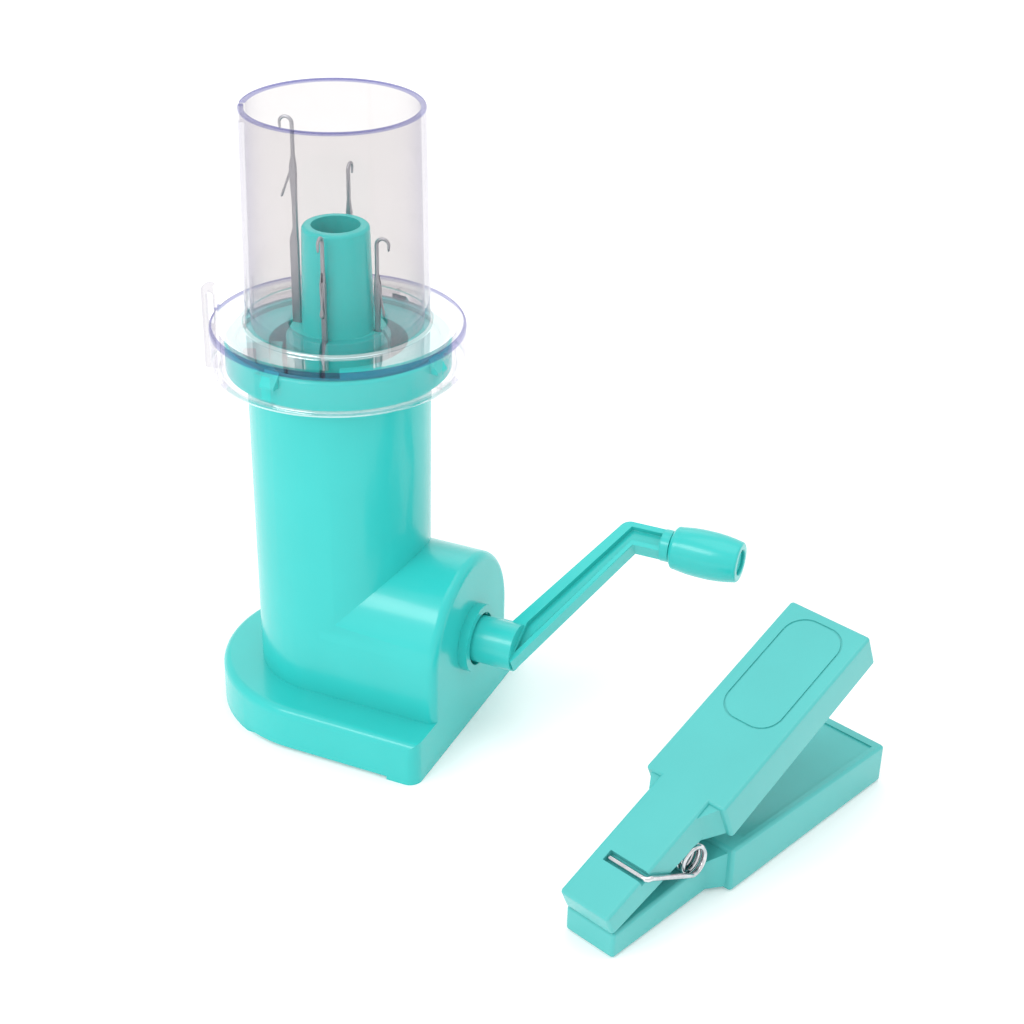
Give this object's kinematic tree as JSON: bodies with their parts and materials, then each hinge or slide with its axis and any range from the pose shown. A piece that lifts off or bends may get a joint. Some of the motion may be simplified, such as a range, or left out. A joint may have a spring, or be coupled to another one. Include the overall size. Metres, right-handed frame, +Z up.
{
  "type": "knitting machine",
  "caption": "Hand-cranked tubular cord knitting mill: upright housing, clear guard over a ring of latch needles, side crank with a turning knob, and a sprung cord clip.",
  "frame": {"origin": "where the needle cylinder's axis meets the table, at the mouth of the cord outlet", "axes": "+Z up along the needle axis, +X along the crank shaft towards the crank, +Y to the back"},
  "size_m": [0.1785, 0.1131, 0.1635],
  "materials": {
    "mint_plastic": "glossy moulded mint plastic",
    "clear_plastic": "clear polished plastic with a slight grey tint",
    "nylon": "natural nylon",
    "steel": "plain steel",
    "needle_steel": "stamped nickel-dull steel",
    "spring_steel": "bright plated wire"
  },
  "bodies": {
    "base": {"housing": "mint_plastic", "bottom_cover": "mint_plastic", "cover_screws": "steel", "cam_ring": "mint_plastic", "lift_cam": "nylon", "stitch_cam": "nylon", "shaft_bush": "nylon", "clear_cover": "clear_plastic"},
    "cylinder": {"needle_cylinder": "mint_plastic", "thrust_washer": "steel", "crown_gear": "nylon", "cylinder_circlip": "steel"},
    "crank": {"crank_shaft": "steel", "drive_pinion": "nylon", "shaft_circlip": "steel", "crank_arm": "mint_plastic"},
    "knob": {"crank_knob": "mint_plastic"},
    "needle_1": {"needle_1": "needle_steel", "latch_rivet_1": "needle_steel"},
    "latch_1": {"latch_1": "needle_steel"},
    "needle_2": {"needle_2": "needle_steel", "latch_rivet_2": "needle_steel"},
    "latch_2": {"latch_2": "needle_steel"},
    "needle_3": {"needle_3": "needle_steel", "latch_rivet_3": "needle_steel"},
    "latch_3": {"latch_3": "needle_steel"},
    "needle_4": {"needle_4": "needle_steel", "latch_rivet_4": "needle_steel"},
    "latch_4": {"latch_4": "needle_steel"},
    "clip_lower": {"clip_lower_lever": "mint_plastic", "clip_spring": "spring_steel"},
    "clip_upper": {"clip_upper_lever": "mint_plastic"}
  },
  "joints": [
    {"name": "crank_turn", "type": "hinge", "parent": "base", "child": "crank", "pos_m": [0.04, 0, 0.0265], "axis": [1, 0, 0], "continuous": true},
    {"name": "cylinder_turn", "type": "hinge", "parent": "base", "child": "cylinder", "pos_m": [0, 0, 0.05], "axis": [0, 0, 1], "continuous": true},
    {"name": "knob_spin", "type": "hinge", "parent": "crank", "child": "knob", "pos_m": [0.09, 0.03429, 0.0463], "axis": [1, 0, 0], "continuous": true},
    {"name": "needle_slide_1", "type": "slide", "parent": "cylinder", "child": "needle_1", "axis": [0, 0, 1], "range_m": [0, 0.028]},
    {"name": "latch_swing_1", "type": "hinge", "parent": "needle_1", "child": "latch_1", "pos_m": [0.01044, 0.00184, 0.1195], "axis": [0.1736, -0.9848, 0], "range_deg": [0, 155]},
    {"name": "needle_slide_2", "type": "slide", "parent": "cylinder", "child": "needle_2", "axis": [0, 0, 1], "range_m": [-0.014, 0.014]},
    {"name": "latch_swing_2", "type": "hinge", "parent": "needle_2", "child": "latch_2", "pos_m": [-0.00184, 0.01044, 0.1335], "axis": [0.9848, 0.1736, 0], "range_deg": [0, 155]},
    {"name": "needle_slide_3", "type": "slide", "parent": "cylinder", "child": "needle_3", "axis": [0, 0, 1], "range_m": [-0.028, 0]},
    {"name": "latch_swing_3", "type": "hinge", "parent": "needle_3", "child": "latch_3", "pos_m": [-0.01044, -0.00184, 0.1475], "axis": [-0.1736, 0.9848, 0], "range_deg": [0, 144]},
    {"name": "needle_slide_4", "type": "slide", "parent": "cylinder", "child": "needle_4", "axis": [0, 0, 1], "range_m": [-0.00314, 0.02486]},
    {"name": "latch_swing_4", "type": "hinge", "parent": "needle_4", "child": "latch_4", "pos_m": [0.00184, -0.01044, 0.12264], "axis": [-0.9848, -0.1736, 0], "range_deg": [0, 155]},
    {"name": "clip_lift", "type": "slide", "parent": "base", "child": "clip_lower", "axis": [0, 0, 1], "range_m": [0, 0.1]},
    {"name": "clip_squeeze", "type": "hinge", "parent": "clip_lower", "child": "clip_upper", "pos_m": [0.10821, -0.04174, 0.0125], "axis": [-0.9379, 0.3469, 0], "range_deg": [0, 22], "stiffness_Nm_per_rad": 0.3, "springref_deg": -28.65, "deforming": ["clip_spring"]}
  ],
  "couplings": [
    {"joint": "cylinder_turn", "follows": "crank_turn", "ratio": -0.6}
  ]
}
